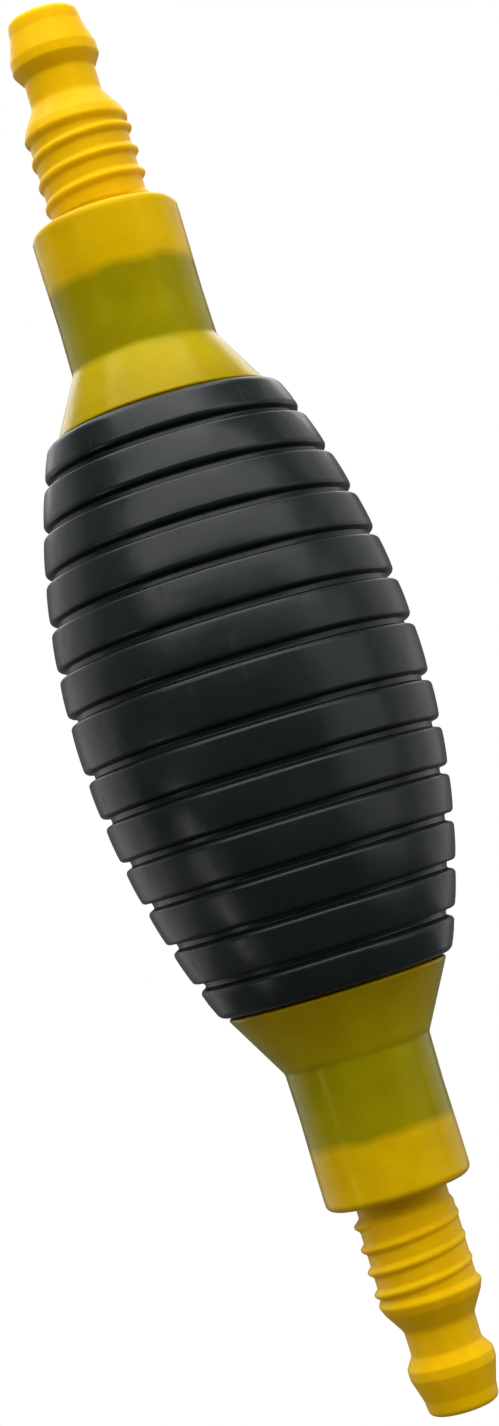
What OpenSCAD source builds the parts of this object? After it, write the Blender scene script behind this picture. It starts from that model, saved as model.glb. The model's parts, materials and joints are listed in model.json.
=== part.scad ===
// Hand siphon pump. A ribbed squeeze bulb joins two necks, and each neck holds a
// check valve and a hose fitting. The pump's axis is +Z: liquid enters at the
// bottom fitting and leaves at the top one. The origin is the centre of the whole
// pump's box, and every size is in millimetres.

/* [Bulb] */
// Largest outside diameter of the bulb
bulb_d = 55; // [50:0.5:62]
// Length of the ribbed bulb along the axis
bulb_l = 91; // [88:0.5:98]
// Radius of the bulb's lengthwise curve
bulb_curve_r = 119; // [112:1:150]
// Wall of the bulb from the top of a band to the chamber
bulb_wall = 3.2; // [2.8:0.1:4]
// Wall left where the bulb laps over the neck's skirt
lap_wall = 2.2; // [2:0.1:2.6]
// Height of the bulb's middle above the plane midway between the necks
bulb_rise = 0.7; // [0:0.1:2]

/* [Bands] */
// Number of grooves above the middle band, and the same below it
grooves_each_side = 6; // [3:1:7]
// Length of the middle band, groove centre to groove centre
middle_band = 9; // [6:0.5:12]
// Distance of the last groove from the bulb's middle
last_groove = 40; // [36:0.5:41]
// Width of a groove
groove_w = 1.5; // [1:0.1:2]
// Depth of a groove
groove_depth = 1.3; // [0.6:0.1:1.5]

/* [Necks] */
// Outside diameter of each collar
collar_d = 23.1; // [22:0.1:26]
// Distance of each collar's outer end from the plane midway between the necks
collar_end = 77.9; // [77:0.1:86]
// Distance of each shoulder's narrow end from the same plane
shoulder_top = 55.7; // [54:0.1:57]
// Angle of the shoulder's cone from the axis
shoulder_angle = 29.5; // [28:0.5:34]
// Bore of the collar, which holds the valve and the fitting's plug
collar_bore_d = 17; // [17:0.1:17.4]
// Length of the lip that closes the collar round the fitting's shank
lip_l = 2.5; // [2:0.1:3]
// Length of the skirt that the bulb laps over
skirt_l = 7; // [5:0.5:9]
// Thickness of the skirt
skirt_wall = 1.6; // [1.2:0.1:2]

/* [Hose fittings] */
// Bore through each fitting
port_d = 7; // [5:0.5:7.5]
// Diameter of the shank between the plug and the thread
shank_d = 14.4; // [14:0.1:14.8]
// Length of bare shank between the inlet's collar and its thread
inlet_shank = 2.5; // [0.5:0.1:4]
// Length of bare shank between the outlet's collar and its thread
outlet_shank = 0.5; // [0.5:0.1:4]
// Diameter at the root of the hose thread
root_d = 15.2; // [15:0.1:15.8]
// Diameter over the crest of the hose thread
crest_d = 16.7; // [16.2:0.1:17]
// Rise of the thread in one turn
thread_pitch = 3.6; // [3:0.1:4]
// Length of the threaded part
thread_l = 13.6; // [11:0.1:14]
// Angle round the axis at which the inlet's thread starts, seen from its plug
inlet_thread_start = 105; // [0:5:355]
// The same for the outlet's thread
outlet_thread_start = 285; // [0:5:355]
// Diameter of the waist between the thread and the tip barb
waist_d = 11.2; // [10.6:0.1:12]
// Diameter over the tip barb
barb_d = 13.7; // [13:0.1:14.4]
// Diameter of the fitting's outer end
tip_d = 11; // [10.4:0.1:12]
// Length of the fitting beyond its shank
nozzle_l = 31.9; // [31:0.1:34]

/* [Check valves] */
// Length of a valve cartridge
valve_l = 11.5; // [11:0.1:12]
// Thickness of the gasket between cartridge and plug
gasket_t = 1; // [0.8:0.1:1.2]
// Wall of the valve body's cup
cup_wall = 1.3; // [1:0.1:1.6]
// Thickness of the seat plate
seat_t = 2; // [1.6:0.1:2.4]
// Diameter of the poppet
poppet_d = 10.4; // [9:0.1:11]
// Diameter of the poppet's stem
stem_d = 2.5; // [2:0.1:3]
// Lift of the poppet from its seat to fully open
lift = 3; // [1.5:0.1:3.2]
// Wire of the valve spring
spring_wire = 0.35; // [0.25:0.01:0.4]
// Turns of the valve spring
spring_turns = 4; // [3:0.5:5]

/* [Hidden] */
// One module draws each node below. The bulb is one moulding, drawn as the two
// halves that a hand presses towards each other.
$fn = 96;

// Room round a soft piece that touches a piece it moves against
soft_gap = 0.3;
// Running clearance of the poppet's stem in its guide
guide_gap = 0.05;
// Room left between the fully open poppet and the end of its guide
stop_gap = 0.05;
// Overlap that joins two parts of one solid
weld = 0.4;

// The plane midway between the necks, seen from the origin
mid_z = (inlet_shank - outlet_shank) / 2;
// Centre of the bulb's lengthwise curve, as a radius from the axis
curve_x = bulb_d / 2 - bulb_curve_r;
function curve_r(depth, y) = curve_x + sqrt(pow(bulb_curve_r - depth, 2) - y * y);

first_groove_a = asin(middle_band / 2 / bulb_curve_r);
last_groove_a = asin(last_groove / bulb_curve_r);
groove_step = (last_groove_a - first_groove_a) / (grooves_each_side - 1);

skirt_depth = lap_wall + soft_gap;
bore_r = collar_bore_d / 2;
lip_r = shank_d / 2;
ledge_t = 1.5;
ledge_hole_r = bore_r - 1.9;
shoulder_wall = 3.6;
end_edge = 1.1;

// The stack in each collar, outwards from its ledge: cartridge, gasket, plug
plug_start = shoulder_top + valve_l + gasket_t;
plug_l = collar_end - lip_l - plug_start;
plug_mouth_l = 3;
plug_mouth_r = 6.2;

// Heights inside a cartridge, from its seat end
seat_rim_t = 0.5;
seal_t = 1;
seal_z = seat_t + seat_rim_t;
disc_z = seal_z + seal_t;
disc_t = 1.1;
hub_r = 2;
hub_bead_r = 2.5;
hub_bead_t = 0.6;
cup_r = bore_r - cup_wall;
cage_t = 1.8;
cage_z = valve_l - cage_t;
guide_r = 2.4;
guide_l = valve_l - disc_z - disc_t - lift - stop_gap;
cage_bar_w = 1.4;
spring_r = 3.3;
spring_play = 0.02;
spring_sides = 6;
spring_steps = 18;
dead_turns = 0.6;

RUBBER_BLACK = [0.09, 0.1, 0.1];
CLEAR_YELLOW = [0.78, 0.66, 0.02];
MOULDED_YELLOW = [0.92, 0.72, 0.02];
VALVE_BLACK = [0.16, 0.17, 0.17];
POPPET_WHITE = [0.85, 0.85, 0.82];
STEEL = [0.72, 0.73, 0.75];

// ---- Bulb ----

// The region inside the bulb's curve, that many millimetres under its surface
module curve_face(depth) {
  translate([curve_x, 0]) circle(r = bulb_curve_r - depth, $fn = 360);
}

// A band of the half plane between two heights
module slab(low, high) {
  translate([0, low]) square([bulb_d, high - low]);
}

module groove_cut(a) {
  translate([curve_x, 0]) rotate(a) translate([bulb_curve_r, 0])
    square([2 * groove_depth, groove_w], center = true);
}

module bulb_section() {
  lap_start = bulb_l / 2 - skirt_l - soft_gap;
  difference() {
    intersection() {
      curve_face(0);
      slab(-bulb_l / 2, bulb_l / 2);
    }
    curve_face(bulb_wall);
    intersection() {
      curve_face(lap_wall);
      slab(lap_start, bulb_l);
    }
    intersection() {
      curve_face(lap_wall);
      slab(-bulb_l, -lap_start);
    }
    for (i = [0 : grooves_each_side - 1]) {
      groove_cut(first_groove_a + i * groove_step);
      groove_cut(-first_groove_a - i * groove_step);
    }
  }
}

// Half of the bulb: side is -1 for the half at -X and 1 for the half at +X
module bulb_half(side) {
  color(RUBBER_BLACK) intersection() {
    translate([0, 0, mid_z + bulb_rise]) rotate_extrude() bulb_section();
    translate([side * (bulb_d / 2 + soft_gap / 2), 0, 0])
      cube([bulb_d, 2 * bulb_d, 2 * bulb_l], center = true);
  }
}

// ---- Necks ----

// A neck pointing up, with y = 0 on the plane between the necks. bulb_end is the
// height of the bulb's edge there, and bulb_mid that of its middle.
module neck_section(bulb_end, bulb_mid) {
  foot = bulb_end + soft_gap;
  foot_r = collar_d / 2 + (shoulder_top - foot) * tan(shoulder_angle);
  skirt_r = curve_r(skirt_depth + skirt_wall, foot - bulb_mid);
  ledge_y = shoulder_top - ledge_t;
  ledge_r = collar_d / 2 + (shoulder_top - ledge_y) * tan(shoulder_angle);
  difference() {
    polygon([
      [0, foot - weld], [curve_r(skirt_depth, foot - bulb_mid), foot - weld],
      [curve_r(skirt_depth, foot - bulb_mid), foot], [foot_r, foot],
      [collar_d / 2, shoulder_top], [collar_d / 2, collar_end - end_edge],
      [collar_d / 2 - end_edge, collar_end], [0, collar_end]
    ]);
    polygon([
      [0, foot - 2 * weld], [skirt_r, foot - 2 * weld], [skirt_r, foot],
      [ledge_r - shoulder_wall, ledge_y], [ledge_hole_r, ledge_y],
      [ledge_hole_r, shoulder_top], [bore_r, shoulder_top],
      [bore_r, collar_end - lip_l], [lip_r, collar_end - lip_l],
      [lip_r, collar_end + weld], [0, collar_end + weld]
    ]);
  }
  translate([0, bulb_mid]) difference() {
    intersection() {
      curve_face(skirt_depth);
      slab(bulb_end - skirt_l - bulb_mid, foot - bulb_mid);
    }
    curve_face(skirt_depth + skirt_wall);
  }
}

module outlet_neck() {
  color(CLEAR_YELLOW) translate([0, 0, mid_z])
    rotate_extrude() neck_section(bulb_l / 2 + bulb_rise, bulb_rise);
}

module inlet_neck() {
  color(CLEAR_YELLOW) translate([0, 0, mid_z]) mirror([0, 0, 1])
    rotate_extrude() neck_section(bulb_l / 2 - bulb_rise, -bulb_rise);
}

// ---- Hose fittings ----

// Half the section of a fitting pointing up, from its plug's inner end at y = 0
module fitting_section(shank_l) {
  thread_y = plug_l + lip_l + shank_l;
  flare_y = thread_y + thread_l;
  tip_y = thread_y + nozzle_l;
  difference() {
    polygon([
      [0, 0], [bore_r - 0.5, 0], [bore_r, 0.5], [bore_r, plug_l],
      [shank_d / 2, plug_l], [shank_d / 2, thread_y], [root_d / 2, thread_y + 0.8],
      [root_d / 2, flare_y - 1], [crest_d / 2 - 0.2, flare_y], [root_d / 2, flare_y + 1.4],
      [waist_d / 2, flare_y + 4.7], [waist_d / 2, flare_y + 8.6],
      [barb_d / 2, flare_y + 10.5], [barb_d / 2, flare_y + 12.1],
      [tip_d / 2 + 0.2, flare_y + 15.8],
      [tip_d / 2, tip_y - 0.7], [tip_d / 2 - 0.7, tip_y], [0, tip_y]
    ]);
    polygon([
      [0, -weld], [plug_mouth_r, -weld], [plug_mouth_r, 0], [port_d / 2, plug_mouth_l],
      [port_d / 2, tip_y + weld], [0, tip_y + weld]
    ]);
  }
}

// The thread's ridge: a four-sided section swept up a right-hand helix from the
// angle start_a. It fades into the root at both ends.
module thread_ridge(low_z, start_a) {
  steps_a_turn = 24;
  turns = (thread_l - 0.6) / thread_pitch;
  steps = floor(turns * steps_a_turn);
  base_r = root_d / 2 - 2 * weld;
  fade = 5;
  points = [
    for (i = [0 : steps])
      let (
        a = start_a + 360 * i / steps_a_turn,
        z = low_z + thread_pitch * i / steps_a_turn,
        full = min(1, i / fade, (steps - i) / fade),
        top_r = root_d / 2 - 0.1 + (crest_d - root_d + 0.2) / 2 * full
      )
      for (p = [[base_r, -1.2], [top_r, -0.35], [top_r, 0.35], [base_r, 1.2]])
        [p[0] * cos(a), p[0] * sin(a), z + p[1]]
  ];
  sides = [
    for (i = [0 : steps - 1])
      for (k = [0 : 3])
        let (a = 4 * i + k, b = 4 * i + (k + 1) % 4)
          each [[a, b, a + 4], [b, b + 4, a + 4]]
  ];
  last = 4 * steps;
  ends = [[0, 2, 1], [0, 3, 2], [last, last + 1, last + 2], [last, last + 2, last + 3]];
  polyhedron(points = points, faces = concat(sides, ends), convexity = 8);
}

module fitting(shank_l, start_a) {
  color(MOULDED_YELLOW) union() {
    rotate_extrude() fitting_section(shank_l);
    thread_ridge(plug_l + lip_l + shank_l + 0.25, start_a);
  }
}

module outlet_fitting() {
  translate([0, 0, mid_z + plug_start]) fitting(outlet_shank, outlet_thread_start);
}

module inlet_fitting() {
  translate([0, 0, mid_z - plug_start]) rotate([180, 0, 0])
    fitting(inlet_shank, inlet_thread_start);
}

// ---- Check valves ----
// Both cartridges stand seat down, so both open upwards with the flow.
outlet_valve_z = mid_z + shoulder_top;
inlet_valve_z = mid_z - shoulder_top - valve_l;

module gasket() {
  color(RUBBER_BLACK) difference() {
    cylinder(r = bore_r, h = gasket_t);
    translate([0, 0, -weld]) cylinder(r = plug_mouth_r, h = gasket_t + 2 * weld);
  }
}

module outlet_gasket() {
  translate([0, 0, outlet_valve_z + valve_l]) gasket();
}

module inlet_gasket() {
  translate([0, 0, inlet_valve_z - gasket_t]) gasket();
}

// Cup with a seat plate at its foot and a raised rim round the port
module valve_body() {
  color(VALVE_BLACK) difference() {
    union() {
      difference() {
        cylinder(r = bore_r, h = valve_l);
        translate([0, 0, seat_t]) cylinder(r = cup_r, h = valve_l);
      }
      cylinder(r = port_d / 2 + 1, h = seal_z);
    }
    translate([0, 0, -weld]) cylinder(d = port_d, h = valve_l);
  }
}

module outlet_valve_body() {
  translate([0, 0, outlet_valve_z]) valve_body();
}

module inlet_valve_body() {
  translate([0, 0, inlet_valve_z]) valve_body();
}

// Ring with four bars that carry the stem's guide, pressed into the cup's mouth.
// The guide's end is the stop that the poppet meets when it is fully open.
module valve_cage() {
  color(VALVE_BLACK) translate([0, 0, valve_l]) mirror([0, 0, 1]) difference() {
    union() {
      difference() {
        cylinder(r = cup_r, h = cage_t);
        translate([0, 0, -weld]) cylinder(r = cup_r - cup_wall, h = cage_t + 2 * weld);
      }
      for (a = [0, 90])
        rotate(a) translate([-cup_r + weld, -cage_bar_w / 2, 0])
          cube([2 * (cup_r - weld), cage_bar_w, cage_t]);
      cylinder(r = guide_r, h = guide_l);
    }
    translate([0, 0, -weld])
      cylinder(r = stem_d / 2 + guide_gap, h = guide_l + 2 * weld);
  }
}

module outlet_valve_cage() {
  translate([0, 0, outlet_valve_z]) valve_cage();
}

module inlet_valve_cage() {
  translate([0, 0, inlet_valve_z]) valve_cage();
}

// Disc with a guide stem above and a beaded hub below, which holds the seal
module poppet() {
  color(POPPET_WHITE) rotate_extrude() polygon([
    [0, seal_z - hub_bead_t], [hub_bead_r - 0.3, seal_z - hub_bead_t],
    [hub_bead_r, seal_z - hub_bead_t / 2], [hub_bead_r, seal_z],
    [hub_r, seal_z], [hub_r, disc_z], [poppet_d / 2, disc_z],
    [poppet_d / 2, disc_z + disc_t], [stem_d / 2, disc_z + disc_t],
    [stem_d / 2, valve_l - 0.5], [stem_d / 2 - 0.3, valve_l - 0.2],
    [0, valve_l - 0.2]
  ]);
}

module outlet_poppet() {
  translate([0, 0, outlet_valve_z]) poppet();
}

module inlet_poppet() {
  translate([0, 0, inlet_valve_z]) poppet();
}

module poppet_seal() {
  color(RUBBER_BLACK) translate([0, 0, seal_z]) difference() {
    cylinder(d = poppet_d, h = seal_t);
    translate([0, 0, -weld]) cylinder(r = hub_r, h = seal_t + 2 * weld);
  }
}

module outlet_poppet_seal() {
  translate([0, 0, outlet_valve_z]) poppet_seal();
}

module inlet_poppet_seal() {
  translate([0, 0, inlet_valve_z]) poppet_seal();
}

// Round wire coiled between the poppet's disc and the cage, with closed ends
module valve_spring() {
  low = disc_z + disc_t + spring_wire / 2 + spring_play;
  high = cage_z - spring_wire / 2 - spring_play;
  dead_rise = dead_turns * spring_wire * 1.1;
  live_turns = spring_turns - 2 * dead_turns;
  steps = spring_turns * spring_steps;
  function height(t) =
    t < dead_turns ? low + dead_rise * t / dead_turns
    : t > spring_turns - dead_turns
      ? high - dead_rise * (spring_turns - t) / dead_turns
      : low + dead_rise + (high - low - 2 * dead_rise) * (t - dead_turns) / live_turns;
  points = [
    for (i = [0 : steps])
      let (a = 360 * i / spring_steps, z = height(i / spring_steps))
        for (k = [0 : spring_sides - 1])
          let (
            b = 360 * k / spring_sides,
            r = spring_r + spring_wire / 2 * cos(b)
          )
          [r * cos(a), r * sin(a), z + spring_wire / 2 * sin(b)]
  ];
  sides = [
    for (i = [0 : steps - 1])
      for (k = [0 : spring_sides - 1])
        let (
          a = spring_sides * i + k,
          b = spring_sides * i + (k + 1) % spring_sides
        )
        each [[a, b, a + spring_sides], [b, b + spring_sides, a + spring_sides]]
  ];
  last = spring_sides * steps;
  ends = [
    for (k = [1 : spring_sides - 2])
      each [[0, k + 1, k], [last, last + k, last + k + 1]]
  ];
  color(STEEL) polyhedron(points = points, faces = concat(sides, ends), convexity = 8);
}

module outlet_valve_spring() {
  translate([0, 0, outlet_valve_z]) valve_spring();
}

module inlet_valve_spring() {
  translate([0, 0, inlet_valve_z]) valve_spring();
}

inlet_fitting();
inlet_neck();
inlet_gasket();
inlet_valve_body();
inlet_valve_cage();
inlet_valve_spring();
inlet_poppet();
inlet_poppet_seal();
bulb_half(-1);  // bulb_left
bulb_half(1);  // bulb_right
outlet_poppet();
outlet_poppet_seal();
outlet_valve_body();
outlet_valve_cage();
outlet_valve_spring();
outlet_gasket();
outlet_neck();
outlet_fitting();
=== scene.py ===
import json
import math

import bpy
import numpy as np
from mathutils import Matrix, Vector

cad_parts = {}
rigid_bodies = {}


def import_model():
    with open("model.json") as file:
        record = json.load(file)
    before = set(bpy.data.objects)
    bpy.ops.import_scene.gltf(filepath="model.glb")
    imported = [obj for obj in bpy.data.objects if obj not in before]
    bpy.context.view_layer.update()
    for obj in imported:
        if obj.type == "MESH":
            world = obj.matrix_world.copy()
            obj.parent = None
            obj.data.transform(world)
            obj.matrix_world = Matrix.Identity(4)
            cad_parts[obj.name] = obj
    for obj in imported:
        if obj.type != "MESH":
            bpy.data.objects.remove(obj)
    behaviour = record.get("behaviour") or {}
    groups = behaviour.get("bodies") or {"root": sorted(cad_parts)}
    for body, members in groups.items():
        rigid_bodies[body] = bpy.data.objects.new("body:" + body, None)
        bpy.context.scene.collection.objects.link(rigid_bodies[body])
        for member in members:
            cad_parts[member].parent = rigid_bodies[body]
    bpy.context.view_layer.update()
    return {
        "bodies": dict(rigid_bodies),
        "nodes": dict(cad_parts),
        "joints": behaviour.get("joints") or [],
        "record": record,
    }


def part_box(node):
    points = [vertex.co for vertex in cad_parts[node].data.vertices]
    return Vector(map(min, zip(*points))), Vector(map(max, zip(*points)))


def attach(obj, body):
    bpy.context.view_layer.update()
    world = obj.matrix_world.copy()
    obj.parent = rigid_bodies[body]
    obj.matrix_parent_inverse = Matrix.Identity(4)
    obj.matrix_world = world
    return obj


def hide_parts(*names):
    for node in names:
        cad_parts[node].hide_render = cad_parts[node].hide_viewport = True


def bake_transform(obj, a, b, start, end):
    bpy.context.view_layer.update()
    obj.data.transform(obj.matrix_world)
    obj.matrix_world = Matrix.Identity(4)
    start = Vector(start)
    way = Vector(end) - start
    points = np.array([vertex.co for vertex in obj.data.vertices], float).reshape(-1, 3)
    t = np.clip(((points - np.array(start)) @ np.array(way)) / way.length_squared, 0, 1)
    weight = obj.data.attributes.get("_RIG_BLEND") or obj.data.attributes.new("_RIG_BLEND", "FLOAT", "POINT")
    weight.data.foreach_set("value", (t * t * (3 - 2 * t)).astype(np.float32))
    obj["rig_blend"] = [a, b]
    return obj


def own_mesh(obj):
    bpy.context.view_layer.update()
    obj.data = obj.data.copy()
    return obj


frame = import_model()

MM = 0.001
MOUNTS = {m["name"]: m for m in frame["record"]["mounts"]}
JOINTS = {j["name"]: j for j in frame["joints"]}


def radius_of(mount):
    return MOUNTS[mount]["dims"]["r_mm"]


def heights_of(node):
    """Lowest and highest z of a CAD node, in millimetres."""
    low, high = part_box(node)
    return low[2] / MM, high[2] / MM


# ---- Outlines and surfaces of revolution, in millimetres ----

NEARLY_STRAIGHT = math.radians(88)
LONGEST_CUT = 0.45
SUPPORT_SHARE, SUPPORT_RADIUS = 0.3, 0.6


def arc(before, corner, after, radius, steps=5):
    """Points that round a corner off, with one support point on each straight side."""
    p, a, b = (np.array(x, float) for x in (corner, before, after))
    u, v = a - p, b - p
    to_a, to_b = np.linalg.norm(u), np.linalg.norm(v)
    u, v = u / to_a, v / to_b
    half = math.acos(max(-1.0, min(1.0, float(u @ v)))) / 2
    if half > NEARLY_STRAIGHT:
        return [p]
    cut = min(radius / math.tan(half), LONGEST_CUT * to_a, LONGEST_CUT * to_b)
    radius = cut * math.tan(half)
    centre = p + (u + v) / np.linalg.norm(u + v) * radius / math.sin(half)
    first, last = p + u * cut - centre, p + v * cut - centre
    turn = math.pi - 2 * half
    points = []
    for i in range(steps + 1):
        t = i / steps
        mix = (math.sin((1 - t) * turn) * first + math.sin(t * turn) * last) / math.sin(turn)
        points.append(centre + mix)
    support = SUPPORT_SHARE * min(radius, SUPPORT_RADIUS)
    if cut + support < 0.5 * to_a:
        points.insert(0, p + u * (cut + support))
    if cut + support < 0.5 * to_b:
        points.append(p + v * (cut + support))
    return points


def outline(corners, longest=None):
    """A closed outline from corners (r, z, fillet), with long sides divided."""
    points = []
    for i, (r, z, fillet) in enumerate(corners):
        if fillet:
            before, after = corners[i - 1][:2], corners[(i + 1) % len(corners)][:2]
            points += arc(before, (r, z), after, fillet)
        else:
            points.append(np.array((r, z), float))
    if longest is None:
        return np.array(points)
    divided = []
    for a, b in zip(points, points[1:] + points[:1]):
        parts = max(1, math.ceil(np.linalg.norm(b - a) / longest))
        divided += [a + (b - a) * i / parts for i in range(parts)]
    return np.array(divided)


def revolve(name, section, low=0.0, high=360.0, segments=160, shape=None):
    """A mesh object swept from a closed section (r, z) between two angles about the axis.

    shape(r, z, angle) may move the points of one angle in or out.
    """
    whole = high - low >= 360
    angles = np.radians(np.linspace(low, high, segments + 1))
    if whole:
        angles = angles[:-1]
    count = len(section)
    points = []
    for angle in angles:
        r, z = section[:, 0], section[:, 1]
        if shape:
            r = shape(r, z, angle)
        points.append(np.column_stack((r * math.cos(angle), r * math.sin(angle), z)))
    faces = []
    for i in range(len(angles) if whole else len(angles) - 1):
        here, there = i * count, (i + 1) % len(angles) * count
        for k in range(count):
            n = (k + 1) % count
            faces.append((here + k, there + k, there + n, here + n))
    if not whole:
        faces.append(tuple(range(count)))
        faces.append(tuple(reversed(range((len(angles) - 1) * count, len(angles) * count))))
    return mesh_object(name, np.concatenate(points), faces)


def mesh_object(name, points, faces):
    mesh = bpy.data.meshes.new(name)
    mesh.from_pydata((points * MM).tolist(), [], faces)
    mesh.polygons.foreach_set("use_smooth", [True] * len(mesh.polygons))
    mesh.update()
    piece = bpy.data.objects.new(name, mesh)
    bpy.context.scene.collection.objects.link(piece)
    return piece


# ---- Materials ----

class Material:
    """A Principled material with short names for the nodes that its pattern needs."""

    def __init__(self, name, **values):
        self.data = bpy.data.materials.new(name)
        self.data.use_nodes = True
        self.tree = self.data.node_tree
        self.shader = self.tree.nodes["Principled BSDF"]
        for key, value in values.items():
            self.shader.inputs[key.replace("_", " ")].default_value = value
        self.place = self.node("ShaderNodeTexCoord").outputs["Object"]

    def node(self, kind, settings=(), **inputs):
        made = self.tree.nodes.new(kind)
        for key, value in dict(settings).items():
            setattr(made, key, value)
        for key, value in inputs.items():
            numbered = key[0] == "i" and key[1:].isdigit()
            socket = made.inputs[int(key[1:]) if numbered else key.replace("_", " ")]
            if isinstance(value, bpy.types.NodeSocket):
                self.tree.links.new(value, socket)
            else:
                socket.default_value = value
        return made

    def feed(self, socket, value):
        self.tree.links.new(value, self.shader.inputs[socket])

    def maths(self, operation, *values):
        inputs = {f"i{i}": value for i, value in enumerate(values)}
        return self.node("ShaderNodeMath", {"operation": operation}, **inputs).outputs[0]

    def noise(self, scale, detail=3.0, stretch=None):
        """Noise between about 0.3 and 0.7, in features of 1/scale metres."""
        place = self.place
        if stretch:
            place = self.node("ShaderNodeMapping", Vector=place, Scale=stretch).outputs[0]
        return self.node("ShaderNodeTexNoise", Vector=place, Scale=scale, Detail=detail).outputs["Fac"]

    def spread(self, value, low, high, start=0.3, end=0.7):
        """value from start to end, turned into low to high."""
        ends = {"From_Min": start, "From_Max": end, "To_Min": low, "To_Max": high}
        return self.node("ShaderNodeMapRange", Value=value, **ends).outputs[0]

    def ramp(self, value, *stops):
        """A colour ramp from (position, (r, g, b)) stops."""
        made = self.node("ShaderNodeValToRGB", Fac=value)
        elements = made.color_ramp.elements
        while len(elements) < len(stops):
            elements.new(0.5)
        for element, (position, colour) in zip(elements, stops):
            element.position = position
            element.color = (*colour, 1.0)
        return made.outputs["Color"]

    def mix(self, amount, a, b, how="MIX"):
        made = self.node("ShaderNodeMix", {"data_type": "RGBA", "blend_type": how})
        for socket, value in zip((made.inputs[0], made.inputs[6], made.inputs[7]), (amount, a, b)):
            if isinstance(value, bpy.types.NodeSocket):
                self.tree.links.new(value, socket)
            else:
                socket.default_value = value if isinstance(value, float) else (*value, 1.0)
        return made.outputs[2]

    def bump(self, *layers):
        """Bumps from (height, depth in metres) layers, fine ones last."""
        normal = None
        for height, depth in layers:
            made = self.node("ShaderNodeBump", Height=height, Distance=depth)
            if normal:
                self.tree.links.new(normal, made.inputs["Normal"])
            normal = made.outputs["Normal"]
        self.feed("Normal", normal)


def bulb_material():
    """Glossy black soft PVC: faint cloudy dulling, fine orange peel and light handling marks."""
    m = Material("bulb_black_pvc", Specular_IOR_Level=0.22)
    clouds = m.noise(90.0, 4.0)
    m.feed("Base Color", m.ramp(clouds, (0.3, (0.0045, 0.0072, 0.0078)), (0.7, (0.0075, 0.0105, 0.011))))
    scuffs = m.noise(700.0, 5.0, (1.0, 1.0, 0.12))
    marks = m.spread(scuffs, 0.0, 1.0, 0.62, 0.74)
    dull = m.spread(clouds, 0.24, 0.34)
    m.feed("Roughness", m.maths("MULTIPLY_ADD", marks, 0.16, dull))
    m.bump((m.noise(130.0, 2.0), 0.00018), (m.noise(2200.0, 2.0), 0.000006))
    return m.data


SOFT_GLOW = {"Subsurface_Weight": 0.18, "Subsurface_Scale": 0.002}
MOULDED_GLOW = {"Subsurface_Weight": 0.5, "Subsurface_Scale": 0.004}
WHITE_GLOW = {"Subsurface_Weight": 0.1, "Subsurface_Scale": 0.001}


def soft_yellow_material():
    """Translucent yellow soft PVC.

    Through the collar's wall the fitting's plug shows bright and the dark valve body shows olive.
    """
    m = Material("clear_yellow_pvc", Specular_IOR_Level=0.17, **SOFT_GLOW)
    m.shader.inputs["Specular Tint"].default_value = (1.0, 0.86, 0.05, 1.0)
    m.shader.inputs["Subsurface Radius"].default_value = (1.0, 0.75, 0.15)
    low_neck, high_neck = heights_of("inlet_neck"), heights_of("outlet_neck")
    middle = (low_neck[0] + high_neck[1]) / 2 * MM
    height = m.node("ShaderNodeSeparateXYZ", Vector=m.place).outputs["Z"]
    away = m.maths("ABSOLUTE", m.maths("SUBTRACT", height, middle))
    wander = m.spread(m.noise(150.0, 2.0), -0.0004, 0.0004)
    away = m.maths("ADD", away, wander)
    start, end = 0.044, 0.080
    valve_low = heights_of("outlet_valve_body")[0] * MM - middle
    plug_low = heights_of("outlet_fitting")[0] * MM - middle

    def at(y):
        return (y - start) / (end - start)

    place = m.spread(away, 0.0, 1.0, start, end)
    bands = m.ramp(
        place,
        (0.0, (0.285, 0.195, 0.001)),
        (at(valve_low - 0.0012), (0.37, 0.28, 0.001)),
        (at(valve_low + 0.0004), (0.235, 0.2, 0.001)),
        (at(plug_low - 0.0009), (0.25, 0.205, 0.001)),
        (at(plug_low + 0.0007), (0.54, 0.34, 0.001)),
        (1.0, (0.58, 0.36, 0.001)),
    )
    clouds = m.noise(160.0, 3.0)
    tint = m.ramp(clouds, (0.3, (0.86, 0.84, 0.8)), (0.7, (1.0, 1.0, 1.0)))
    m.feed("Base Color", m.mix(1.0, bands, tint, "MULTIPLY"))
    m.feed("Roughness", m.spread(m.noise(260.0, 3.0), 0.18, 0.27))
    m.bump((m.noise(110.0, 2.0), 0.00022), (m.noise(1500.0, 2.0), 0.000008))
    return m.data


def moulded_yellow_material():
    """Opaque moulded yellow plastic, satin, with a faint flow pattern along the fitting."""
    m = Material("moulded_yellow", Specular_IOR_Level=0.14, **MOULDED_GLOW)
    m.shader.inputs["Specular Tint"].default_value = (1.0, 0.78, 0.03, 1.0)
    m.shader.inputs["Subsurface Radius"].default_value = (1.0, 0.9, 0.2)
    flow = m.noise(330.0, 4.0, (1.0, 1.0, 0.25))
    m.feed("Base Color", m.ramp(flow, (0.3, (0.62, 0.355, 0.001)), (0.7, (0.68, 0.395, 0.0015))))
    m.feed("Roughness", m.spread(m.noise(500.0, 3.0), 0.34, 0.46))
    m.bump((m.noise(260.0, 2.0), 0.00012), (m.noise(2600.0, 2.0), 0.000008))
    return m.data


def plain_material(name, dark, light, rough, grain, depth, **values):
    """A small inner piece: cloudy colour, uneven gloss and a fine surface grain."""
    m = Material(name, **values)
    clouds = m.noise(grain, 4.0)
    m.feed("Base Color", m.ramp(clouds, (0.3, dark), (0.7, light)))
    m.feed("Roughness", m.spread(m.noise(grain * 2.2, 3.0), rough - 0.06, rough + 0.06))
    m.bump((m.noise(grain * 4.0, 2.0), depth))
    return m.data


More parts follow.
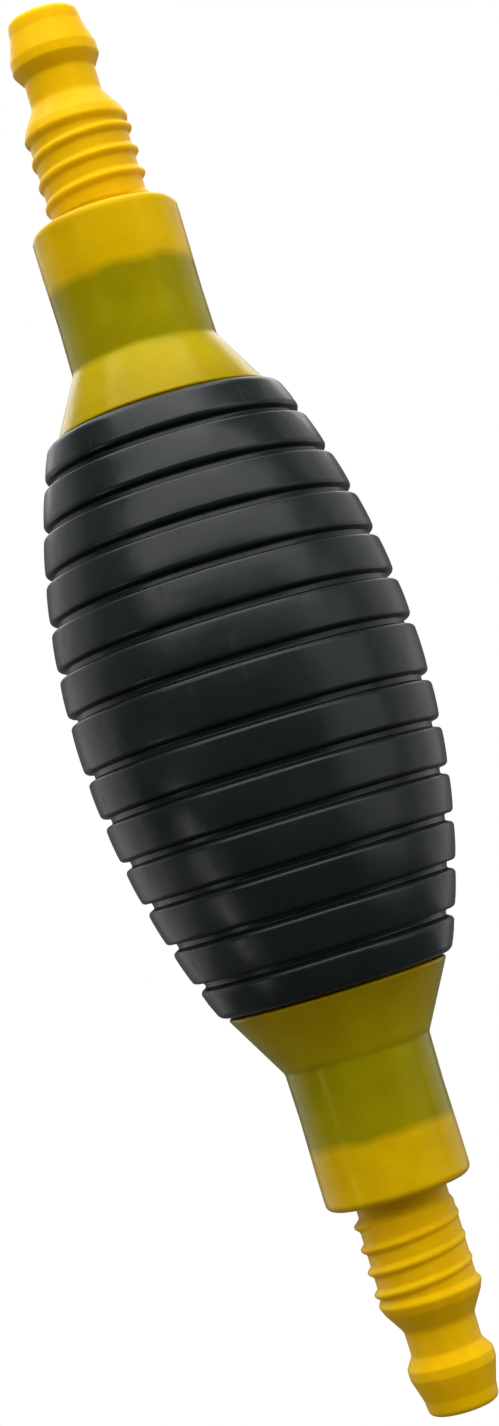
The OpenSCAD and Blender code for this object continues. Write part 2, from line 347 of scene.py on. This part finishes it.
def steel_material():
    """Drawn spring wire: bright, with fine draw marks round the coil."""
    m = Material("spring_steel", Metallic=1.0)
    marks = m.noise(3000.0, 4.0, (0.2, 0.2, 1.0))
    m.feed("Base Color", m.ramp(marks, (0.3, (0.42, 0.43, 0.45)), (0.7, (0.62, 0.62, 0.63))))
    m.feed("Roughness", m.spread(marks, 0.2, 0.38))
    m.bump((marks, 0.000004))
    return m.data


FINISHES = {
    "bulb_black": bulb_material(),
    "clear_yellow_pvc": soft_yellow_material(),
    "moulded_yellow": moulded_yellow_material(),
    "seal_rubber": plain_material(
        "seal_rubber", (0.012, 0.012, 0.012), (0.02, 0.02, 0.019), 0.55, 300.0, 0.00002
    ),
    "valve_black": plain_material(
        "valve_black", (0.016, 0.017, 0.018), (0.026, 0.027, 0.028), 0.42, 350.0, 0.000012
    ),
    "poppet_white": plain_material(
        "poppet_white", (0.66, 0.65, 0.6), (0.76, 0.75, 0.71), 0.4, 300.0, 0.000012, **WHITE_GLOW
    ),
    "spring_steel": steel_material(),
}


def finish_piece(piece, slot, *nodes):
    """Gives a piece its finish and hides the CAD nodes that it stands for."""
    piece.data.materials.append(FINISHES[slot])
    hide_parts(*nodes)


# ---- Bulb ----

BULB = {"curve_r": 119.0, "wall": 3.2, "lap_wall": 2.2, "skirt": 7.3, "end_fillet": 1.5, "lap_fillet": 0.2}
GROOVE = {
    "each_side": 6,
    "middle": 9.0,
    "last": 40.0,
    "width": 1.5,
    "floor": 1.0,
    "depth": 1.3,
    "fillet": 0.3,
}
# Fillets at the lower and upper edge of a band, and its crown (4 times the height at its middle).
BAND = {"low_fillet": 1.0, "high_fillet": 0.7, "crown": 0.3}
END_BAND_POINTS, BAND_POINTS = (0.5,), (0.3, 0.4, 0.5, 0.6, 0.7)
CHAMBER_POINTS = 25
BULB_HALF_TURN = 96
# Share of the round-to-oval widening that shows at full squeeze.
BULGE_SHARE = 0.6


def bulb_corners():
    """Corners (r, z, fillet) of the bulb's section: up the outside, then down the chamber's wall."""
    low, high = heights_of("bulb_left")
    centre_z, half_l = (low + high) / 2, (high - low) / 2
    bulb_r = -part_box("bulb_left")[0][0] / MM
    curve_r = BULB["curve_r"]
    centre_r = bulb_r - curve_r

    def at_angle(angle, depth, along=0.0):
        reach = curve_r - depth
        return (
            centre_r + reach * math.cos(angle) - along * math.sin(angle),
            centre_z + reach * math.sin(angle) + along * math.cos(angle),
        )

    def at_height(z, depth):
        return centre_r + math.sqrt((curve_r - depth) ** 2 - (z - centre_z) ** 2), z

    first, last = (math.asin(x / curve_r) for x in (GROOVE["middle"] / 2, GROOVE["last"]))
    step = (last - first) / (GROOVE["each_side"] - 1)
    grooves = [first + i * step for i in range(GROOVE["each_side"])]
    grooves = [-a for a in reversed(grooves)] + grooves
    end = math.asin(half_l / curve_r)
    edges = [-end] + grooves + [end]
    last_band = len(edges) - 2
    corners = [(*at_height(low, 0.0), BULB["end_fillet"])]
    for i, (a, b) in enumerate(zip(edges, edges[1:])):
        if i:
            corners.append((*at_angle(a, 0.0, GROOVE["width"] / 2), BAND["low_fillet"]))
        for t in END_BAND_POINTS if i in (0, last_band) else BAND_POINTS:
            corners.append((*at_angle(a + (b - a) * t, -BAND["crown"] * t * (1 - t)), 0))
        if i < last_band:
            corners.append((*at_angle(b, 0.0, -GROOVE["width"] / 2), BAND["high_fillet"]))
            for half_floor in (-GROOVE["floor"] / 2, GROOVE["floor"] / 2):
                corners.append((*at_angle(b, GROOVE["depth"], half_floor), GROOVE["fillet"]))
    corners.append((*at_height(high, 0.0), BULB["end_fillet"]))
    lap_high, lap_low = high - BULB["skirt"], low + BULB["skirt"]
    corners.append((*at_height(high, BULB["lap_wall"]), BULB["lap_fillet"]))
    corners.append((*at_height((high + lap_high) / 2, BULB["lap_wall"]), 0))
    corners.append((*at_height(lap_high, BULB["lap_wall"]), 0))
    for k in range(CHAMBER_POINTS):
        height = lap_high + (lap_low - lap_high) * k / (CHAMBER_POINTS - 1)
        corners.append((*at_height(height, BULB["wall"]), 0))
    corners.append((*at_height(lap_low, BULB["lap_wall"]), 0))
    corners.append((*at_height((low + lap_low) / 2, BULB["lap_wall"]), 0))
    corners.append((*at_height(low, BULB["lap_wall"]), BULB["lap_fillet"]))
    return corners


def section_normals(section):
    """Outward normals of a closed section, from its neighbouring points."""
    along = np.roll(section, -1, 0) - np.roll(section, 1, 0)
    normals = np.column_stack((along[:, 1], -along[:, 0]))
    return normals / np.linalg.norm(normals, axis=1)[:, None]


def squeeze_shares(points):
    """How far each point follows a pressed wall, 0 to 1, and its sideways move at full squeeze, in metres.

    A pressed bulb turns from round to oval, most at its middle and not at all over the necks' skirts,
    and bulges across the squeeze.
    """
    low, high = heights_of("bulb_left")
    middle, held = (low + high) / 2 * MM, ((high - low) / 2 - BULB["skirt"]) * MM
    travel = JOINTS["squeeze"]["range_m"][1]
    reach = np.hypot(points[:, 0], points[:, 1])
    along = np.clip(np.abs(points[:, 2] - middle) / held, 0, 1)
    hump = (1 - along**2) ** 2
    across = np.abs(points[:, 0]) / reach
    share = hump * across
    curve_r = BULB["curve_r"] * MM
    outer = -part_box("bulb_left")[0][0] - curve_r + np.sqrt(curve_r**2 - (points[:, 2] - middle) ** 2)
    short = outer - travel * hump
    long = outer + BULGE_SHARE * (np.sqrt(2 * outer**2 - short**2) - outer)
    sideways = np.zeros_like(points)
    sideways[:, 1] = points[:, 1] / reach * (long - outer)
    return share, sideways


def bulge_group():
    """Geometry nodes that move each point by its bulge attribute, in step with the squeeze joint."""
    group = bpy.data.node_groups.new("squeeze_bulge", "GeometryNodeTree")
    for way in ("INPUT", "OUTPUT"):
        group.interface.new_socket("Geometry", in_out=way, socket_type="NodeSocketGeometry")
    new, link = group.nodes.new, group.links.new
    start, end = new("NodeGroupInput"), new("NodeGroupOutput")
    wall = new("GeometryNodeObjectInfo")
    wall.inputs["Object"].default_value = frame["bodies"]["bulb_left_wall"]
    pressed = new("ShaderNodeSeparateXYZ")
    link(wall.outputs["Location"], pressed.inputs[0])
    share = new("ShaderNodeMath")
    share.operation = "DIVIDE"
    share.inputs[1].default_value = JOINTS["squeeze"]["range_m"][1]
    link(pressed.outputs["X"], share.inputs[0])
    bulge = new("GeometryNodeInputNamedAttribute")
    bulge.data_type = "FLOAT_VECTOR"
    bulge.inputs["Name"].default_value = "bulge"
    offset = new("ShaderNodeVectorMath")
    offset.operation = "SCALE"
    link(bulge.outputs["Attribute"], offset.inputs[0])
    link(share.outputs[0], offset.inputs["Scale"])
    move = new("GeometryNodeSetPosition")
    link(start.outputs[0], move.inputs["Geometry"])
    link(offset.outputs[0], move.inputs["Offset"])
    link(move.outputs[0], end.inputs[0])
    return group


def make_bulb():
    section = outline(bulb_corners())
    normals = section_normals(section)
    bulge = bulge_group()
    for side, low in (("left", 90.0), ("right", -90.0)):
        piece = revolve(f"bulb_{side}_skin", section, low, low + 180.0, BULB_HALF_TURN)
        angles = np.repeat(np.radians(np.linspace(low, low + 180.0, BULB_HALF_TURN + 1)), len(section))
        r, z = np.tile(normals, (BULB_HALF_TURN + 1, 1)).T
        outward_normals = np.column_stack((r * np.cos(angles), r * np.sin(angles), z))
        piece.data.normals_split_custom_set_from_vertices(outward_normals.tolist())
        finish_piece(piece, "bulb_black", f"bulb_{side}")
        outward = -1 if side == "left" else 1
        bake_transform(piece, "pump_ends", f"bulb_{side}_wall", start=(0, 0, 0), end=(outward * 0.02, 0, 0))
        points = np.array([v.co for v in piece.data.vertices])
        share, sideways = squeeze_shares(points)
        attributes = piece.data.attributes
        attributes["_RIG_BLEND"].data.foreach_set("value", share.astype(np.float32))
        bulges = attributes.new("bulge", "FLOAT_VECTOR", "POINT")
        bulges.data.foreach_set("vector", sideways.astype(np.float32).ravel())
        piece.modifiers.new("squeeze_bulge", "NODES").node_group = bulge


# ---- Necks ----

NECK = {
    "shoulder_slope": math.tan(math.radians(29.5)),
    "bore_r": 8.5,
    "lip_r": 7.2,
    "lip_l": 2.5,
    "ledge_t": 1.5,
    "ledge_r": 6.6,
    "wall": 3.6,
    "skirt_wall": 1.6,
    "skirt_gap": 0.3,
}


def make_neck(end, up):
    """The soft neck of one end. up is 1 for the outlet, whose fitting points up, and -1 for the inlet."""
    z = heights_of(f"{end}_neck")
    skirt_end, tip = (z if up > 0 else z[::-1])
    bulb_low, bulb_high = heights_of("bulb_left")
    bulb_edge = bulb_high if up > 0 else bulb_low
    valve = heights_of(f"{end}_valve_body")
    shoulder_top = valve[0] if up > 0 else valve[1]
    collar_r = radius_of(f"{end}_collar")
    bulb_mid = (bulb_low + bulb_high) / 2
    bulb_r = -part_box("bulb_left")[0][0] / MM
    curve_r = BULB["curve_r"]

    def under(height, depth):
        return bulb_r - curve_r + math.sqrt((curve_r - depth) ** 2 - (height - bulb_mid) ** 2)

    foot = bulb_edge + up * NECK["skirt_gap"]
    foot_r = collar_r + abs(shoulder_top - foot) * NECK["shoulder_slope"]
    ledge = shoulder_top - up * NECK["ledge_t"]
    ledge_r = collar_r + NECK["ledge_t"] * NECK["shoulder_slope"] - NECK["wall"]
    skirt_out = BULB["lap_wall"] + NECK["skirt_gap"]
    skirt_in = skirt_out + NECK["skirt_wall"]
    corners = [
        (under(skirt_end, skirt_in), skirt_end, 0.4),
        (under(skirt_end, skirt_out), skirt_end, 0.4),
        (under(foot, skirt_out), foot, 0),
        (foot_r, foot, 0.35),
        (collar_r + 0.02, shoulder_top, 1.6),
        (collar_r - 0.12, shoulder_top + up * 7.5, 0),
        (collar_r, tip - up * 6.0, 0),
        (collar_r, tip, 1.25),
        (NECK["lip_r"], tip, 0.35),
        (NECK["lip_r"], tip - up * NECK["lip_l"], 0),
        (NECK["bore_r"], tip - up * NECK["lip_l"], 0),
        (NECK["bore_r"], shoulder_top, 0),
        (NECK["ledge_r"], shoulder_top, 0.2),
        (NECK["ledge_r"], ledge, 0.3),
        (ledge_r, ledge, 0.6),
        (under(foot, skirt_in), foot, 0.5),
    ]
    if up < 0:
        corners.reverse()
    piece = revolve(f"{end}_neck_body", outline(corners, 1.2), segments=144)
    finish_piece(piece, "clear_yellow_pvc", f"{end}_neck")
    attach(piece, "pump_ends")


# ---- Hose fittings ----

THREAD = {
    "pitch": 3.6,
    "length": 13.6,
    "root_r": 7.6,
    "crest_r": 8.35,
    "ridge_half": 1.5,
    "lead_in": 0.25,
    "lead_out": 0.35,
    "fade": 0.22,
    "sunk": 0.45,
}
FITTING = {
    "plug_r": 8.5,
    "plug_l": 7.2,
    "shank_r": 7.2,
    "mouth_r": 6.2,
    "mouth_l": 3.0,
    "waist_r": 5.6,
    "tip_r": 5.5,
    "barb_from_flare": 11.3,
}


def make_fitting(end, up, thread_start, worn_side, worn):
    """One hose fitting.

    thread_start is the angle, in degrees, at which its ridge starts, seen from the plug. The ridge stands
    lowest at the angle worn_side, where it has lost the share worn of its height.
    """
    z = heights_of(f"{end}_fitting")
    inner, tip = (z if up > 0 else z[::-1])
    port_r, barb_r = radius_of(f"{end}_port"), radius_of(f"{end}_tip_barb")
    barb = MOUNTS[f"{end}_tip_barb"]["pos_m"][2] / MM
    flare = barb - up * FITTING["barb_from_flare"]
    thread = flare - up * THREAD["length"]
    shank = inner + up * FITTING["plug_l"]
    root_r, crest_r = THREAD["root_r"], THREAD["crest_r"]
    corners = [
        (port_r, tip, 0.5),
        (port_r, inner + up * FITTING["mouth_l"], 0.4),
        (FITTING["mouth_r"], inner, 0.3),
        (FITTING["plug_r"], inner, 0.5),
        (FITTING["plug_r"], shank, 0.2),
        (FITTING["shank_r"], shank, 0),
        (FITTING["shank_r"], thread, 0.5),
        (root_r, thread + up * 0.8, 0.5),
        (root_r, flare - up * 1.0, 0.8),
        (crest_r - 0.1, flare, 0.7),
        (root_r + 0.05, flare + up * 1.5, 1.2),
        (FITTING["waist_r"] + 0.05, flare + up * 4.7, 2.0),
        (FITTING["waist_r"], flare + up * 8.6, 0.8),
        (barb_r, barb - up * 0.75, 0.65),
        (barb_r, barb + up * 0.8, 0.9),
        (FITTING["tip_r"] + 0.25, flare + up * 15.8, 1.5),
        (FITTING["tip_r"], tip, 0.95),
    ]
    if up > 0:
        corners.reverse()
    first = thread + up * THREAD["lead_in"]
    turns = (THREAD["length"] - THREAD["lead_in"] - THREAD["lead_out"]) / THREAD["pitch"]

    def ridge(r, height, angle):
        """Radii with the hose thread's ridge added: a right-hand helix that fades out at both ends."""
        outside = r > FITTING["shank_r"] - 0.05
        zone = outside & (np.abs(height - (thread + flare) / 2) < THREAD["length"] / 2 + 1.0)
        start = (math.degrees(angle) * up - thread_start) / 360.0 % 1.0
        raised = np.zeros_like(r)
        for turn in range(-1, math.ceil(turns) + 1):
            wound = turn + start
            fade = min(wound / THREAD["fade"], (turns - wound) / THREAD["fade"], 1.0)
            if fade <= 0:
                continue
            off = np.abs((height - first) * up - THREAD["pitch"] * wound) / THREAD["ridge_half"]
            raised = np.maximum(raised, fade * np.where(off < 1, np.cos(off * math.pi / 2) ** 2, 0))
        lost = worn * (0.5 + 0.5 * math.cos(angle - math.radians(worn_side)))
        high, sunk = (crest_r - root_r) * (1 - lost), THREAD["sunk"]
        return np.where(zone, np.maximum(r, root_r - sunk + (high + sunk) * raised), r)

    piece = revolve(f"{end}_fitting_body", outline(corners, 0.22), segments=160, shape=ridge)
    finish_piece(piece, "moulded_yellow", f"{end}_fitting")
    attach(piece, "pump_ends")


# ---- Valve springs ----

SPRING = {"wire_r": 0.175, "coil_r": 3.3, "turns": 4.0, "dead": 0.6, "play": 0.04}
STEPS_PER_TURN, WIRE_SIDES = 40, 12


def make_spring(end):
    """The coil spring between the poppet and the cage, with closed ends."""
    low, high = heights_of(f"{end}_valve_spring")
    wire, turns, dead = SPRING["wire_r"], SPRING["turns"], SPRING["dead"]
    low, high = low + wire, high - wire
    rise = dead * wire * 2.2
    wound = np.linspace(0, turns, int(turns * STEPS_PER_TURN) + 1)
    height = np.interp(wound, [0, dead, turns - dead, turns], [low, low + rise, high - rise, high])
    rings = []
    for turn, z in zip(wound, height):
        angle = 2 * math.pi * turn
        outward = np.array((math.cos(angle), math.sin(angle), 0))
        centre = SPRING["coil_r"] * outward + (0, 0, z)
        for k in range(WIRE_SIDES):
            a = 2 * math.pi * k / WIRE_SIDES
            rings.append(centre + wire * (math.cos(a) * outward + math.sin(a) * np.array((0, 0, 1.0))))
    faces = []
    for here in range(0, len(rings) - WIRE_SIDES, WIRE_SIDES):
        for k in range(WIRE_SIDES):
            n, there = (k + 1) % WIRE_SIDES, here + WIRE_SIDES
            faces.append((here + k, there + k, there + n, here + n))
    faces += [tuple(reversed(range(WIRE_SIDES))), tuple(range(len(rings) - WIRE_SIDES, len(rings)))]
    piece = mesh_object(f"{end}_spring_coil", np.array(rings), faces)
    finish_piece(piece, "spring_steel", f"{end}_valve_spring")
    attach(piece, "pump_ends")
    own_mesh(piece)


make_bulb()
ENDS = (("outlet", 1, 285.0, 180.0, 0.3), ("inlet", -1, 105.0, 0.0, 0.7))
for end, up, thread_start, worn_side, worn in ENDS:
    make_neck(end, up)
    make_fitting(end, up, thread_start, worn_side, worn)
    make_spring(end)

SLOT_OF = {part["node"]: part["material_slot"] for part in frame["record"]["subparts"]}
for name, node in frame["nodes"].items():
    if not node.hide_render:
        node.data.materials.clear()
        node.data.materials.append(FINISHES[SLOT_OF[name]])


# ---- Stage, light and camera ----

def direction(azimuth, elevation):
    """Unit vector from the pump towards a light. Azimuth 0 is the camera's side, and 90 is +X."""
    a, e = math.radians(azimuth), math.radians(elevation)
    return Vector((math.sin(a) * math.cos(e), -math.cos(a) * math.cos(e), math.sin(e)))


def soft_light(name, azimuth, elevation, away, width, height, radiance):
    """A rectangular white soft box that faces the pump, as bright as radiance times white."""
    light = bpy.data.lights.new(name, "AREA")
    light.shape = "RECTANGLE"
    light.size, light.size_y = width, height
    light.energy = radiance * math.pi * width * height
    lamp = bpy.data.objects.new(name, light)
    bpy.context.scene.collection.objects.link(lamp)
    back = direction(azimuth, elevation)
    lamp.location = back * away
    lamp.rotation_mode = "QUATERNION"
    lamp.rotation_quaternion = back.to_track_quat("Z", "Y")
    lamp.visible_camera = False


def make_stage():
    """A pale floor well below the pump, and a world that looks near white but lights the pump dimly."""
    radius, height, sides = 2400.0, -2000.0, 64
    turn = 2 * math.pi / sides
    points = [(radius * math.cos(turn * k), radius * math.sin(turn * k), height) for k in range(sides)]
    floor = mesh_object("floor", np.array(points), [tuple(range(sides))])
    floor.visible_diffuse = floor.visible_glossy = floor.visible_transmission = False
    m = Material("pale_floor", Roughness=0.9, Emission_Strength=0.75)
    m.shader.inputs["Emission Color"].default_value = (1.0, 1.0, 1.0, 1.0)
    m.feed("Base Color", m.ramp(m.noise(6.0, 2.0), (0.3, (0.9, 0.9, 0.9)), (0.7, (0.93, 0.93, 0.93))))
    floor.data.materials.append(m.data)

    world = bpy.data.worlds.new("studio")
    bpy.context.scene.world = world
    world.use_nodes = True
    nodes, links = world.node_tree.nodes, world.node_tree.links
    for node in list(nodes):
        nodes.remove(node)
    seen, lit = nodes.new("ShaderNodeBackground"), nodes.new("ShaderNodeBackground")
    seen.inputs["Color"].default_value = (1.0, 1.0, 1.0, 1.0)
    lit.inputs["Color"].default_value = (0.16, 0.16, 0.16, 1.0)
    path, mix = nodes.new("ShaderNodeLightPath"), nodes.new("ShaderNodeMixShader")
    out = nodes.new("ShaderNodeOutputWorld")
    links.new(path.outputs["Is Camera Ray"], mix.inputs[0])
    links.new(lit.outputs[0], mix.inputs[1])
    links.new(seen.outputs[0], mix.inputs[2])
    links.new(mix.outputs[0], out.inputs["Surface"])


def make_camera(place, target, lean, lens, shift):
    """A camera that sees the pump's axis lean to the left by lean degrees."""
    data = bpy.data.cameras.new("camera")
    data.lens = lens
    data.clip_start, data.clip_end = 0.01, 20.0
    camera = bpy.data.objects.new("camera", data)
    bpy.context.scene.collection.objects.link(camera)
    place, target = Vector(place), Vector(target)
    ahead = (target - place).normalized()
    side = ahead.cross(Vector((0, 0, 1))).normalized()
    above = side.cross(ahead)
    c, s = math.cos(math.radians(lean)), math.sin(math.radians(lean))
    right, top = c * side - s * above, c * above + s * side
    rows = [(right[i], top[i], -ahead[i], place[i]) for i in range(3)]
    camera.matrix_world = Matrix(rows + [(0, 0, 0, 1)])
    data.shift_x, data.shift_y = shift
    bpy.context.scene.camera = camera


make_stage()
soft_light("key_bank", 9.0, 41.0, 1.0, 2.5, 0.6, 3.4)
soft_light("overhead", -10.0, 84.0, 1.0, 1.2, 1.1, 4.0)
soft_light("right_window", 66.0, -3.0, 0.8, 0.62, 0.66, 1.3)
soft_light("left_strip", -65.0, -22.0, 0.8, 0.08, 0.36, 5.5)
soft_light("left_side", -121.0, 6.0, 1.0, 0.95, 1.1, 0.75)
soft_light("right_side", 123.0, 6.0, 1.0, 0.9, 1.1, 0.7)
soft_light("behind", 180.0, 38.0, 1.1, 1.4, 0.7, 1.8)
make_camera((0.0, -0.390, -0.0248), (-0.0006, 0.0, -0.0245), 16.955, 64.24, (-0.0326, 0.1067))
bpy.context.scene.view_settings.view_transform = "Standard"
